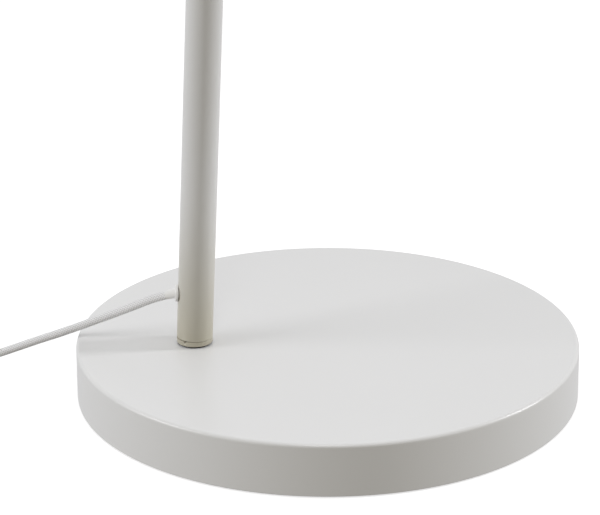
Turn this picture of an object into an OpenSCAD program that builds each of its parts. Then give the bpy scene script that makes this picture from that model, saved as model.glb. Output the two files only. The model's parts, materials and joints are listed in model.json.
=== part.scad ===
// Arc floor lamp: a weighted disc base, a raked pole in two sections, a half-round arc and a
// dome shade on a swivelling, tilting knuckle, with its cord, foot switch and plug.
// Millimetres, +Z up. The origin is the centre of the base on the floor; the arc reaches along +X.

/* [Base] */
// Diameter of the round base
base_d = 350; // [320:5:400]
// Height of the base's top face above the floor
base_h = 38; // [36:1:44]
// Radius rolled on the top edge of the base
rim_r = 2.5; // [2.5:0.5:5]
// Sheet thickness of the base cover
cover_t = 2; // [1:0.5:2.5]

/* [Pole] */
// Outer diameter of the pole and arc tubes
tube_d = 25; // [25:0.5:27]
// Wall thickness of the tubes
tube_t = 1.5; // [1.25:0.25:1.5]
// Distance of the pole's foot from the centre of the base
pole_offset = 92.5; // [80:0.5:110]
// Lean of the pole towards the arc, in degrees
pole_rake = 2.5; // [1:0.5:4]
// Length of each straight pole section
section_len = 660; // [500:10:750]
// Height of the collar under the pole
collar_h = 4.5; // [4:0.5:8]
// Height of the cord outlet above the floor
outlet_h = 74.5; // [74:0.5:95]

/* [Arc] */
// Bend radius of the arc, to the tube's centreline
arc_r = 340; // [300:10:400]

/* [Shade] */
// Radius of the dome shade
shade_r = 150; // [135:5:170]
// Height of the straight skirt under the dome
shade_skirt = 15; // [5:1:25]
// Sheet thickness of the shade
shade_t = 1.2; // [1:0.1:1.5]
// Diameter of the globe bulb
bulb_d = 80; // [70:5:90]

/* [Cord] */
// Diameter of the braided cord
cord_d = 5.5; // [5:0.25:5.75]

/* [Hidden] */
$fn = 96;

// Colours of the finishes
paint = [0.87, 0.86, 0.84];
zinc = [0.62, 0.63, 0.64];
nylon = [0.93, 0.93, 0.92];
braid = [0.88, 0.88, 0.88];
brass = [0.78, 0.66, 0.36];

slip = 0.05;                              // radial play of a screw or shaft in its hole
tube_r = tube_d / 2;
bore_r = tube_r - tube_t;
edge = 0.4;                               // small chamfer on turned edges

// Base, from the floor up
felt_h = 2.5;
plate_t = 2;
cover_z = 1;                              // the cover's skirt hangs just clear of the floor
plate_z = felt_h;
weight_z = plate_z + plate_t;
weight_top = base_h - cover_t;
weight_r = base_d / 2 - cover_t - 1;
weight_edge = 3;
web_z = weight_z + 9.5;                   // underside of the weight's web
web_r = weight_r - 22;
pocket_z = web_z + 4;                     // roof of the bolt's pocket
pocket_r = 16;
screw_circle = weight_r - 11;
screw_r = 2.5;
screw_head_r = 4.5;
screw_len = 12;
felt_inset = 4;

// Bolt that clamps the pole to the base
bolt_r = 5;
bolt_head_r = 9.2;
bolt_head_h = 6.4;
bolt_hole_r = bolt_r + 0.4;
washer_r = 12;
washer_t = 2;
lock_r = 9;
lock_t = 2.5;
lock_slit = 1;
bolt_z = pocket_z - washer_t - lock_t;    // underside of the lock washer
bolt_grip = 18;                           // thread length above the collar
key_r = 1.5;
key_x = 8;
key_sink = 7;                             // depth of the key pin below the base's top
key_out = 4;                              // its length above the collar
shadow_h = 1.3;                           // shadow gap under the collar
shadow_in = 1.5;                          // how far the gap goes in

// Pole: its own frame has its origin on the collar and its Z axis along the tube
foot_z = base_h + collar_h;
seat = tube_r * tan(pole_rake);           // the square-cut tube rests on the collar at one side
insert_r = bore_r - slip;
insert_h = 20;
joiner_h = 60;
joiner_t = 2;
grub_r = 2;
grub_hole_r = grub_r + 0.1;
grub_z = joiner_h / 4;
grub_sink = 0.3;

// Arc and its straight ends
arc_lead = 60;
arc_tail = 30;
bend_z = 2 * section_len + arc_lead;      // start of the half-round bend, in the pole's frame
end_z = bend_z - arc_tail;                // open end of the arc, 2 * arc_r across from the pole

// Cord outlet: a snap-in bushing in the pole's wall
outlet_z = (outlet_h - foot_z) / cos(pole_rake);
gland_hole = 4;
gland_flange_r = 5.9;
gland_flange_t = 2;
gland_face = tube_r + gland_flange_t;     // distance of the outer face from the pole's axis
gland_in = 8;
gland_lug = 0.6;
lug_z = [gland_in + 0.8, gland_in + 1.8];  // start and end of the snap lug
cord_r = cord_d / 2;
cord_play = 0.25;
flex_shift = 6;                           // the inner flex lies this far off the tube's axis
flex_bend = gland_in + flex_shift;
clamp_r = 4.8;
clamp_h = 8;
clamp_up = 4;                             // height of the clamp above the flex's bend

// Swivel at the end of the arc
end_flange = 3;
stem_r = 6;
stem_up = 25;
clip_z = 22.2;                            // height of the clip above the tube's end
clip_t = 1;
clip_out = 8.5;
clip_in = 5.4;
clip_gap = 3;
wire_bore = 3.2;
stop_ring = 9.3;                          // radius on which the stop pin travels
stop_r = 1;
stop_depth = 1.8;
stop_top = -end_flange + stop_depth - 0.4;
stop_low = -6;
stop_sweep = 340;
stop_groove = 2.4;                        // width of the groove that the pin travels in
washer_gap = 0.5;
fork_z = -end_flange - washer_gap;        // top face of the fork's flange, from the tube's end
fork_flange = 4;
pivot_drop = 13;
pivot_z = fork_z - fork_flange - pivot_drop;

// Tilt knuckle: ears on both sides of the wire slot, as [inner face, outer face] along Y
ear_r = 9;
tongue_y = [3.6, 6.6];
spacer_y = [6.65, 7.05];
fork_y = [7.1, 10.1];
spring_y = [10.15, 10.45];
head_y = [10.5, 12.6];
pivot_r = 3;
pivot_thread = 2.5;
pivot_head = 5.2;
bridge_drop = 11;
bridge_h = 4;
nipple_r = 5;
nipple_h = 15;
flex_gap = 4;                             // the flex is split this far either side of the pivot
flex_end = -2.5;                          // height of the next split, from the tube's end

// Lampholder and shade, measured down from the tilt pivot
cup_top = bridge_drop + bridge_h;
cup_r = 25;
cup_h = 45;
cup_t = 1.2;
cup_edge = 8;
nut_h = 3;
nut_r = 8.6;
cap_top = cup_top + cup_t + nut_h;
cap_low = 40;
cap_r = 19;
cap_edge = 4;
holder_t = 2;
body_r = 19.3;
body_bore = 15;
body_floor = 4;
body_low = 66;
block_r = 13.5;
block_h = 9;
terminal_x = 8;
terminal_r = 1.8;
terminal_sink = [1, 2];                   // the screws' ends below the block's top and above its foot
contact_size = [16, 5];
contact_z = [cap_low + body_floor + 0.2, 45.6];
sleeve_out = 14.4;
sleeve_in = 13.4;
sleeve_top = 46;
sleeve_low = 64;
shade_top = cup_top + cup_h;
shade_flat = 28;                          // radius of the shade's flat crown
shade_hole = 19.6;
shade_bead = 1.6;
crown = sqrt(shade_r * shade_r - shade_flat * shade_flat);
dome_z = -shade_top - crown;              // the dome's centre, from the pivot
ring_r = 26;
lamp_cap_r = 13.1;
lamp_cap_top = 50;
lamp_cap_low = 71;
lamp_tip = 46.6;
lamp_tip_r = 5;
lamp_neck_r = 10;
collar_low = 91;
collar_r = 24;
globe_t = 1;
globe_drop = collar_low + sqrt(bulb_d * bulb_d / 4 - collar_r * collar_r);

// Foot switch: a round puck that the cord runs through along Y
switch_at = [-376, -60];
switch_r = 32;
switch_h = 24;
switch_split = 8;
switch_wall = 2;
switch_edge = 7;
button_r = 15;
button_hole = 15.3;
button_flange = 17;
button_top = 27;
button_z = 20.5;
button_edge = 1.5;
boss_x = 24;
boss_r = 3.5;
boss_z = 1;                               // underside of the screw bosses
boss_top = switch_h - 1;
boss_screw_r = 1.5;
boss_screw_len = 12;
relief_r = 5;
relief_tip = 3.2;
relief_len = 25;
relief_in = 27;
block_size = [24, 16, 8];
spring_r = 5;
spring_wire = 0.5;
spring_turns = 4;
spring_steps = 12;                        // rings in a turn

// Plug: a flat two-pin plug lying on the floor with its pins along -Y
plug_at = [-263, -117];
plug_h = 13.7;
plug_z = plug_h / 2;
plug_len = 36;
plug_w = 35.3;
plug_rear = 6;                            // half width of the plug's rear
plug_flare = [6, 26];                     // start and end of the widening
plug_relief_len = 28;
pin_gap = 18.6;
pin_r = 2;
pin_len = 19;
pin_tip = 1;
pin_shank = 1.5;
pin_root = 8;

// Stored length of the cord, in one round coil
coil_at = [-296, -40];
coil_r = 30;
coil_z = 0.95;
coil_half = 8.5;
coil_h = 16.5;
tie_w = 8;
tie_t = 0.9;
tie_gap = 0.5;

// Route of the cord from the outlet, past the rim of the base and down to the foot switch
lead_route = [
    [-105.5, 0, 75], [-112, 1, 73.2], [-122, 3, 69.6], [-134, 5.5, 64], [-148, 8.5, 57.5],
    [-161, 11, 51.7], [-174, 13.5, 46], [-188, 16.5, 40], [-202, 20, 34.1], [-216, 23.5, 27.9],
    [-230, 26.5, 22], [-244, 29.5, 16.3], [-258, 32, 11.2], [-273, 34.5, 6.9], [-288, 36, 4],
    [-303, 36.5, 3], [-318, 36, 3], [-333, 33.5, 3], [-347, 28.5, 3.2], [-359, 21, 4],
    [-368, 11.5, 5.6], [-373.5, 3.5, 7], [-376, -3, 8]
];

// Route from the foot switch, round a half turn on the floor, to the bottom of the coil
run_turn = 23.5;
run_centre = [-352.5, -140.5];
run_route = concat(
    [[-376, -117, 8], [-376, -128.5, 6.2]],
    [for (k = [0:8]) let (a = 22.5 * k) [
        run_centre[0] - run_turn * cos(a), run_centre[1] - run_turn * sin(a), max(3.1, 4.5 - 0.6 * k)
    ]],
    [[-329, -128, 3.1], [-329.2, -112, 3.1], [-329.8, -95, 3.2], [-330.6, -78, 3.3],
     [-331.5, -62, 3.5], [-331.5, -48, 3.7]]
);

// Route from the top of the coil to the plug
tail_route = [
    [-263, -31, 14.7], [-262.6, -43, 14.5], [-262.2, -55, 13], [-262.4, -67, 10.6],
    [-262.8, -78, 8.3], [-263, -89, 6.9]
];

// A point of the pole's own XZ plane in the object's frame
function to_world(p) = [
    -pole_offset + p[0] * cos(pole_rake) + p[1] * sin(pole_rake),
    0,
    foot_z - p[0] * sin(pole_rake) + p[1] * cos(pole_rake)
];
pivot_at = to_world([2 * arc_r, end_z + pivot_z]);

// Path of the flex inside the pole and round the arc to the swivel, in the pole's own frame
function flex_offset(a) = flex_shift * (1 - cos(180 * min(1, a / 15))) / 2;
flex_path = concat(
    [[-gland_face, outlet_z], [-gland_in, outlet_z]],
    [for (a = [15:15:75]) [-gland_in + flex_bend * sin(a), outlet_z + flex_bend * (1 - cos(a))]],
    [for (z = [outlet_z + flex_bend, bend_z / 2, bend_z]) [flex_shift, z]],
    [for (a = [175:-5:0]) let (r = arc_r - flex_offset(a)) [arc_r + r * cos(a), bend_z + r * sin(a)]],
    [[2 * arc_r, end_z + flex_end + 0.5]]
);

function unit(v) = v / norm(v);
function tangent(p, i) = unit(p[min(i + 1, len(p) - 1)] - p[max(i - 1, 0)]);
function hoop(p, i, r, sides, ref) =
    let (t = tangent(p, i), a = unit(cross(ref, t)), b = cross(t, a))
    [for (k = [0:sides - 1]) p[i] + r * (cos(360 * k / sides) * a + sin(360 * k / sides) * b)];

// Round tube of radius r along the points p; ref is a direction that the path never takes
module sweep(p, r, sides = 8, ref = [0, 0, 1]) {
    n = len(p);
    polyhedron(
        points = [for (i = [0:n - 1]) each hoop(p, i, r, sides, ref)],
        faces = concat(
            [[for (k = [0:sides - 1]) k]],
            [for (i = [0:n - 2], k = [0:sides - 1]) let (a = i * sides, b = a + sides, j = (k + 1) % sides)
                each [[a + k, b + k, b + j], [a + k, b + j, a + j]]],
            [[for (k = [sides - 1:-1:0]) (n - 1) * sides + k]]
        )
    );
}

// Upright ring
module ring(outer, inner, h) {
    difference() {
        cylinder(r = outer, h = h);
        translate([0, 0, -1]) cylinder(r = inner, h = h + 2);
    }
}

// Disc from z0 to z1 whose top edge is rounded by e
module disc(r, z0, z1, e) {
    rotate_extrude() {
        translate([0, z0]) square([r, z1 - z0 - e]);
        translate([0, z0]) square([r - e, z1 - z0]);
        translate([r - e, z1 - e]) intersection() {
            circle(e);
            square(e);
        }
    }
}

// Tube of the pole's section, h long, with its ends chamfered by c0 and c1
module pipe(h, c0, c1) {
    rotate_extrude() polygon([
        [bore_r, 0], [tube_r - c0, 0], [tube_r, c0], [tube_r, h - c1], [tube_r - c1, h], [bore_r, h]
    ]);
}

module at_foot() {
    translate([-pole_offset, 0, 0]) children();
}

module in_pole(z = 0) {
    translate([-pole_offset, 0, foot_z]) rotate([0, pole_rake, 0]) translate([0, 0, z]) children();
}

// Z runs out of the pole through the cord outlet
module in_outlet() {
    in_pole(outlet_z) rotate([0, -90, 0]) children();
}

// Holes for the grub screws that hold a joiner, through the back of the tubes
module grub_holes(z, r) {
    for (s = [-1, 1]) in_pole(z + s * grub_z) rotate([-90, 0, 0]) cylinder(r = r, h = tube_d);
}

// Open end of the arc; Z runs up along the tube
module at_arc_end() {
    in_pole(end_z) translate([2 * arc_r, 0, 0]) children();
}

// Tilt pivot of the head, upright
module at_pivot() {
    translate(pivot_at) children();
}

// Flat shape made solid between two drops below the pivot
module below_pivot(top, low) {
    at_pivot() translate([0, 0, -low]) linear_extrude(height = low - top) children();
}

// Round part along Y, on both sides of the middle plane, between the faces y
module both_sides(y, r) {
    for (s = [90, -90]) rotate([s, 0, 0]) translate([0, 0, y[0]]) cylinder(r = r, h = y[1] - y[0]);
}

module at_switch(z = 0) {
    translate([switch_at[0], switch_at[1], z]) children();
}

// Y runs from the rear of the plug to its pins
module at_plug(z = 0) {
    translate([plug_at[0], plug_at[1], z]) rotate([0, 0, 180]) children();
}

module at_plate_screws() {
    for (a = [45:90:315]) rotate([0, 0, a]) translate([screw_circle, 0, plate_z]) children();
}

module base_cover() {
    color(paint) difference() {
        disc(base_d / 2, cover_z, base_h, rim_r);
        disc(base_d / 2 - cover_t, 0, weight_top, rim_r - cover_t);
        at_foot() cylinder(r = bolt_hole_r, h = foot_z);
        at_foot() translate([key_x, 0, 0]) cylinder(r = key_r + slip, h = foot_z);
    }
}

module base_weight() {
    color([0.24, 0.24, 0.25]) difference() {
        disc(weight_r, weight_z, weight_top, weight_edge);
        cylinder(r = web_r, h = web_z);
        at_foot() cylinder(r = pocket_r, h = pocket_z);
        at_foot() cylinder(r = bolt_hole_r, h = foot_z);
        at_foot() translate([key_x, 0, base_h - key_sink]) cylinder(r = key_r + slip, h = key_sink);
        at_plate_screws() cylinder(r = screw_r, h = plate_t + screw_len + 1);
    }
}

module base_plate() {
    color(zinc) difference() {
        translate([0, 0, plate_z]) cylinder(r = weight_r, h = plate_t);
        at_plate_screws() cylinder(r1 = screw_head_r + slip, r2 = screw_r + slip, h = plate_t);
    }
}

module plate_screws() {
    color(zinc) at_plate_screws() {
        cylinder(r1 = screw_head_r, r2 = screw_r - slip, h = plate_t);
        translate([0, 0, plate_t]) cylinder(r = screw_r - slip, h = screw_len);
    }
}

module felt_pad() {
    color([0.3, 0.3, 0.31]) cylinder(r = weight_r - felt_inset, h = felt_h);
}

module pole_bolt() {
    color(zinc) at_foot() {
        translate([0, 0, bolt_z - bolt_head_h]) cylinder(r = bolt_head_r, h = bolt_head_h, $fn = 6);
        translate([0, 0, bolt_z]) cylinder(r = bolt_r, h = foot_z + bolt_grip - bolt_z);
    }
}

module bolt_washer() {
    color(zinc) at_foot() translate([0, 0, pocket_z - washer_t]) ring(washer_r, bolt_hole_r, washer_t);
}

module lock_washer() {
    color(zinc) at_foot() translate([0, 0, bolt_z]) difference() {
        ring(lock_r, bolt_hole_r, lock_t);
        translate([0, -lock_slit / 2, -1]) cube([washer_r, lock_slit, lock_t + 2]);
    }
}

module key_pin() {
    color(zinc) at_foot() translate([key_x, 0, base_h - key_sink])
        cylinder(r = key_r, h = key_sink + collar_h + key_out);
}

module pole_collar() {
    color(paint) at_foot() translate([0, 0, base_h]) difference() {
        rotate_extrude() polygon([
            [bolt_hole_r, 0], [tube_r - shadow_in, 0], [tube_r - shadow_in, shadow_h],
            [tube_r, shadow_h], [tube_r, collar_h - edge], [tube_r - edge, collar_h],
            [bolt_hole_r, collar_h]
        ]);
        translate([key_x, 0, -1]) cylinder(r = key_r + slip, h = collar_h + 2);
    }
}

// Threaded plug in the tube's foot: raked with the tube, but flat where it sits on the collar
module pole_insert() {
    color(zinc) difference() {
        in_pole(-2) cylinder(r = insert_r, h = insert_h + 2);
        translate([-pole_offset - tube_r, -tube_r, foot_z - tube_d]) cube(tube_d);
        at_foot() cylinder(r = bolt_r + slip, h = foot_z + tube_d);
        at_foot() translate([key_x, 0, base_h]) cylinder(r = key_r + slip, h = collar_h + key_out + 1);
    }
}

module lower_pole() {
    color(paint) difference() {
        in_pole(seat) pipe(section_len - seat, edge, edge);
        in_outlet() cylinder(r = gland_hole + slip, h = tube_d);
        grub_holes(section_len, grub_hole_r);
    }
}

module middle_pole() {
    color(paint) difference() {
        in_pole(section_len) pipe(section_len, edge, edge);
        grub_holes(section_len, grub_hole_r);
        grub_holes(2 * section_len, grub_hole_r);
    }
}

module joiner(z) {
    color(zinc) difference() {
        in_pole(z - joiner_h / 2) ring(insert_r, insert_r - joiner_t, joiner_h);
        grub_holes(z, grub_r + slip);
    }
}

module lower_joiner() {
    joiner(section_len);
}

module upper_joiner() {
    joiner(2 * section_len);
}

module joiner_screws() {
    color([0.2, 0.2, 0.2]) for (z = [section_len, 2 * section_len], s = [-1, 1])
        in_pole(z + s * grub_z) rotate([-90, 0, 0]) translate([0, 0, insert_r - joiner_t])
            cylinder(r = grub_r, h = joiner_t + tube_t - grub_sink);
}

module arc_tube() {
    color(paint) difference() {
        in_pole(bend_z) union() {
            translate([0, 0, -arc_lead]) pipe(arc_lead, edge, 0);
            translate([arc_r, 0, 0]) rotate([90, 0, 0]) rotate_extrude(angle = 180)
                translate([arc_r, 0]) difference() {
                    circle(tube_r);
                    circle(bore_r);
                }
            translate([2 * arc_r, 0, -arc_tail]) pipe(arc_tail, edge, 0);
        }
        grub_holes(2 * section_len, grub_hole_r);
    }
}

module cord_gland() {
    color(nylon) in_outlet() rotate_extrude() polygon([
        [cord_r + cord_play, gland_in], [gland_hole, gland_in],
        [gland_hole + gland_lug, lug_z[0]], [gland_hole + gland_lug, lug_z[1]],
        [gland_hole, lug_z[1]], [gland_hole, tube_r], [gland_flange_r, tube_r],
        [gland_flange_r, gland_face - edge], [gland_flange_r - edge, gland_face],
        [cord_r + cord_play, gland_face]
    ]);
}

module cord_clamp() {
    color(nylon) in_pole(outlet_z + flex_bend + clamp_up) translate([flex_shift, 0, 0])
        ring(clamp_r, cord_r + slip, clamp_h);
}

module inner_flex() {
    color(braid) sweep([for (p = flex_path) to_world(p)], cord_r, 8, [0, 1, 0]);
}

// Plug in the arc's end: the swivel's bearing, with a groove for the stop pin
module end_insert() {
    color(zinc) at_arc_end() difference() {
        union() {
            cylinder(r = insert_r, h = clip_z - 0.2);
            translate([0, 0, -end_flange]) cylinder(r = tube_r, h = end_flange);
        }
        translate([0, 0, -end_flange - 1]) cylinder(r = stem_r + slip, h = clip_z + end_flange + 2);
        rotate([0, 0, -stop_sweep / 2]) rotate_extrude(angle = stop_sweep)
            translate([stop_ring - stop_groove / 2, -end_flange - 1]) square([stop_groove, stop_depth + 1]);
    }
}

// Stem with the clip's groove, flange and two ears turned and milled from one bar
module swivel_fork() {
    clip_top = clip_z + clip_t + 0.1;
    color(paint) at_arc_end() difference() {
        union() {
            rotate_extrude() polygon([
                [0, fork_z - 1], [stem_r, fork_z - 1], [stem_r, clip_z - 0.1], [clip_in - slip, clip_z - 0.1],
                [clip_in - slip, clip_top], [stem_r, clip_top], [stem_r, stem_up], [0, stem_up]
            ]);
            intersection() {
                translate([0, 0, pivot_z - ear_r]) cylinder(r = tube_r, h = fork_z - pivot_z + ear_r);
                union() {
                    translate([0, 0, fork_z - fork_flange]) cylinder(r = tube_r, h = fork_flange);
                    translate([0, 0, pivot_z]) both_sides(fork_y, ear_r);
                    for (y = [fork_y[0], -fork_y[1]]) translate([-ear_r, y, pivot_z])
                        cube([2 * ear_r, fork_y[1] - fork_y[0], pivot_drop]);
                }
            }
        }
        translate([0, 0, pivot_z]) cylinder(r = wire_bore, h = stem_up - pivot_z + 1);
        translate([0, 0, pivot_z]) both_sides([0, tube_r], pivot_r + slip);
        translate([stop_ring, 0, stop_low]) cylinder(r = stop_r + slip, h = -stop_low);
    }
}

module swivel_washer() {
    color(nylon) at_arc_end() translate([0, 0, fork_z]) difference() {
        ring(tube_r - edge, stem_r + 4 * slip, washer_gap - slip);
        translate([stop_ring, 0, -1]) cylinder(r = stop_r + slip, h = 2);
    }
}

module swivel_clip() {
    color(zinc) at_arc_end() translate([0, 0, clip_z]) difference() {
        ring(clip_out, clip_in, clip_t);
        translate([0, -clip_gap / 2, -1]) cube([clip_out + 1, clip_gap, clip_t + 2]);
    }
}

module stop_pin() {
    color(zinc) at_arc_end() translate([stop_ring, 0, stop_low])
        cylinder(r = stop_r, h = stop_top - stop_low);
}

module knuckle_flex() {
    color(braid) at_arc_end() translate([0, 0, pivot_z + flex_gap])
        cylinder(r = cord_r, h = flex_end - pivot_z - flex_gap);
}

// Tongue of the tilt joint, with the hollow nipple that carries the lampholder
module head_knuckle() {
    color(paint) difference() {
        union() {
            at_pivot() both_sides(tongue_y, ear_r);
            for (y = [tongue_y[0], -tongue_y[1]]) at_pivot() translate([-ear_r, y, -bridge_drop])
                cube([2 * ear_r, tongue_y[1] - tongue_y[0], bridge_drop]);
            below_pivot(bridge_drop, cup_top) circle(tube_r);
            below_pivot(cup_top, cup_top + nipple_h) circle(nipple_r);
        }
        below_pivot(0, cup_top + nipple_h + 1) circle(wire_bore);
        at_pivot() both_sides([0, tube_r], pivot_thread + slip);
    }
}

module pivot_screws() {
    color(zinc) at_pivot() {
        both_sides([tongue_y[0] + 0.2, spacer_y[1]], pivot_thread);
        both_sides([spacer_y[1], head_y[0]], pivot_r);
        both_sides(head_y, pivot_head);
    }
}

module pivot_washers() {
    color(nylon) at_pivot() difference() {
        both_sides(spacer_y, ear_r - 1);
        both_sides([0, tube_r], pivot_r + 0.2);
    }
}

module spring_washers() {
    color(zinc) at_pivot() difference() {
        both_sides(spring_y, pivot_head - 0.2);
        both_sides([0, tube_r], pivot_r + 0.2);
    }
}

module holder_flex() {
    color(braid) below_pivot(flex_gap, cap_low - flex_gap) circle(cord_r);
}

module holder_cup() {
    color(paint) at_pivot() difference() {
        disc(cup_r, -shade_top, -cup_top, cup_edge);
        disc(cup_r - cup_t, -shade_top - 1, -cup_top - cup_t, cup_edge - cup_t);
        translate([0, 0, -shade_top]) cylinder(r = nipple_r + 0.1, h = cup_h + 1);
    }
}

module nipple_nut() {
    color(zinc) below_pivot(cup_top + cup_t, cap_top) difference() {
        circle(nut_r, $fn = 6);
        circle(nipple_r + slip);
    }
}

module holder_cap() {
    color([0.15, 0.15, 0.15]) at_pivot() difference() {
        disc(cap_r, -cap_low, -cap_top, cap_edge);
        disc(cap_r - holder_t, -cap_low - 1, -cap_top - holder_t, cap_edge - holder_t);
        translate([0, 0, -cap_low]) cylinder(r = nipple_r + slip, h = cap_low);
    }
}

module holder_body() {
    color([0.15, 0.15, 0.15]) difference() {
        below_pivot(cap_low, body_low) circle(body_r);
        below_pivot(cap_low + body_floor, body_low + 1) circle(body_bore);
        below_pivot(cap_low - 1, body_low) circle(wire_bore);
    }
}

module terminal_block() {
    color([0.92, 0.9, 0.85]) difference() {
        below_pivot(cap_low - block_h, cap_low) circle(block_r);
        below_pivot(cap_low - block_h - 1, cap_low + 1) circle(wire_bore);
        for (s = [-1, 1]) translate([s * terminal_x, 0, 0])
            below_pivot(cap_low - block_h - 1, cap_low - terminal_sink[1]) circle(terminal_r + slip);
    }
}

module terminal_screws() {
    color(brass) for (s = [-1, 1]) translate([s * terminal_x, 0, 0])
        below_pivot(cap_low - block_h + terminal_sink[0], cap_low - terminal_sink[1]) circle(terminal_r);
}

module thread_sleeve() {
    color(brass) below_pivot(sleeve_top, sleeve_low) difference() {
        circle(sleeve_out);
        circle(sleeve_in);
    }
}

module centre_contact() {
    color(brass) below_pivot(contact_z[0], contact_z[1]) square(contact_size, center = true);
}

// Spun dome with a flat crown, a short skirt and a rolled lower edge
module shade() {
    color(paint) at_pivot() translate([0, 0, dome_z]) rotate_extrude() {
        intersection() {
            difference() {
                circle(shade_r);
                circle(shade_r - shade_t);
            }
            square([shade_r, crown]);
        }
        translate([shade_hole, crown - shade_t]) square([shade_flat - shade_hole, shade_t]);
        translate([shade_r - shade_t, -shade_skirt]) square([shade_t, shade_skirt]);
        translate([shade_r - shade_t / 2, -shade_skirt]) circle(shade_bead);
    }
}

module shade_ring() {
    color([0.15, 0.15, 0.15]) below_pivot(shade_top + shade_t + 0.1, body_low) difference() {
        circle(ring_r);
        circle(body_r + slip);
    }
}

module bulb_cap() {
    color(zinc) at_pivot() rotate_extrude() polygon([
        [0, -lamp_tip], [lamp_tip_r - edge, -lamp_tip], [lamp_tip_r, -lamp_tip - 1],
        [lamp_neck_r, 1 - lamp_cap_top], [lamp_cap_r, -lamp_cap_top], [lamp_cap_r, -lamp_cap_low],
        [0, -lamp_cap_low]
    ]);
}

module bulb_collar() {
    color(nylon) at_pivot() translate([0, 0, -collar_low])
        cylinder(r1 = collar_r, r2 = lamp_cap_r, h = collar_low - lamp_cap_low);
}

module bulb_globe() {
    color([0.97, 0.96, 0.92]) difference() {
        at_pivot() translate([0, 0, -globe_drop]) sphere(r = bulb_d / 2);
        at_pivot() translate([0, 0, -globe_drop]) sphere(r = bulb_d / 2 - globe_t);
        below_pivot(0, collar_low) circle(bulb_d);
    }
}

module cord_lead() {
    color(braid) sweep(lead_route, cord_r);
}

module switch_reliefs() {
    color(nylon) at_switch(switch_split) for (s = [90, -90]) rotate([s, 0, 0]) {
        translate([0, 0, relief_in]) cylinder(r = relief_r, h = switch_r - relief_in);
        translate([0, 0, switch_r]) cylinder(r1 = relief_r, r2 = relief_tip, h = relief_len);
    }
}

module switch_bores() {
    at_switch(switch_split) rotate([90, 0, 0])
        cylinder(r = relief_r + slip, h = 2 * switch_r + 2, center = true);
    at_switch() for (s = [-1, 1]) translate([s * boss_x, 0, boss_z])
        cylinder(r = boss_screw_r + slip, h = boss_screw_len + 2);
}

module switch_base() {
    color(nylon) difference() {
        union() {
            at_switch() difference() {
                cylinder(r = switch_r, h = switch_split);
                translate([0, 0, switch_wall]) cylinder(r = switch_r - switch_wall, h = switch_split);
            }
            at_switch() for (s = [-1, 1]) translate([s * boss_x, 0, boss_z])
                cylinder(r = boss_r, h = switch_split - boss_z);
        }
        switch_bores();
    }
}

module switch_cover() {
    color(nylon) difference() {
        union() {
            at_switch() difference() {
                disc(switch_r, switch_split, switch_h, switch_edge);
                disc(switch_r - switch_wall, 0, switch_h - switch_wall, switch_edge - switch_wall);
                cylinder(r = button_hole, h = switch_h + 1);
            }
            at_switch() for (s = [-1, 1]) translate([s * boss_x, 0, switch_split])
                cylinder(r = boss_r, h = boss_top - switch_split);
        }
        switch_bores();
    }
}

module switch_button() {
    color([0.8, 0.8, 0.79]) at_switch() {
        disc(button_r, button_z, button_top, button_edge);
        translate([0, 0, button_z])
            cylinder(r = button_flange, h = switch_h - switch_wall - button_z - slip);
    }
}

module switch_spring() {
    base = switch_wall + block_size[2] + spring_wire;
    rise = button_z - 2 * spring_wire - switch_wall - block_size[2];
    steps = spring_steps * spring_turns;
    coil = [for (i = [0:steps]) let (a = 360 * i / spring_steps) [
        spring_r * cos(a), spring_r * sin(a), base + rise * i / steps
    ]];
    color(zinc) at_switch() sweep(coil, spring_wire, 6);
}

module switch_block() {
    color([0.2, 0.2, 0.2]) at_switch(switch_wall)
        translate([-block_size[0] / 2, -block_size[1] / 2, 0]) cube(block_size);
}

module switch_screws() {
    color(zinc) at_switch() for (s = [-1, 1]) translate([s * boss_x, 0, boss_z])
        cylinder(r = boss_screw_r, h = boss_screw_len);
}

module cord_run() {
    color(braid) sweep(run_route, cord_r);
}

module cord_coil() {
    color(braid) translate([coil_at[0], coil_at[1], coil_z])
        ring(coil_r + coil_half, coil_r - coil_half, coil_h);
}

// Strap looped round the coil's turns on the side that faces the lamp's back
module cord_tie() {
    low = coil_r - coil_half - tie_gap;
    deep = 2 * (coil_half + tie_gap);
    color([0.2, 0.2, 0.2]) translate([coil_at[0] - tie_w / 2, coil_at[1], 0]) difference() {
        translate([0, low - tie_t, 0]) cube([tie_w, deep + 2 * tie_t, coil_h + 2 * coil_z]);
        translate([-1, low, tie_t]) cube([tie_w + 2, deep, coil_h + 2 * (coil_z - tie_t)]);
    }
}

module cord_tail() {
    color(braid) sweep(tail_route, cord_r);
}

module plug_relief() {
    color(nylon) at_plug(plug_z) rotate([90, 0, 0])
        cylinder(r1 = relief_r, r2 = relief_tip, h = plug_relief_len);
}

module plug_body() {
    half = [
        [plug_rear, 0], [plug_rear + 3, plug_flare[0]], [plug_w / 2, plug_flare[1]], [plug_w / 2, plug_len]
    ];
    color(nylon) difference() {
        at_plug() linear_extrude(height = plug_h)
            polygon(concat(half, [for (i = [3:-1:0]) [-half[i][0], half[i][1]]]));
        for (s = [-1, 1]) at_plug(plug_z) translate([s * pin_gap / 2, plug_len - pin_root, 0])
            rotate([-90, 0, 0]) cylinder(r = pin_shank + slip, h = pin_root + 1);
    }
}

module plug_pins() {
    color(zinc) for (s = [-1, 1]) at_plug(plug_z) translate([s * pin_gap / 2, plug_len, 0])
        rotate([-90, 0, 0]) rotate_extrude() polygon([
            [0, -pin_root], [pin_shank, -pin_root], [pin_shank, 0], [pin_r, 0], [pin_r, pin_len - pin_tip],
            [pin_r - pin_tip, pin_len], [0, pin_len]
        ]);
}

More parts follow.
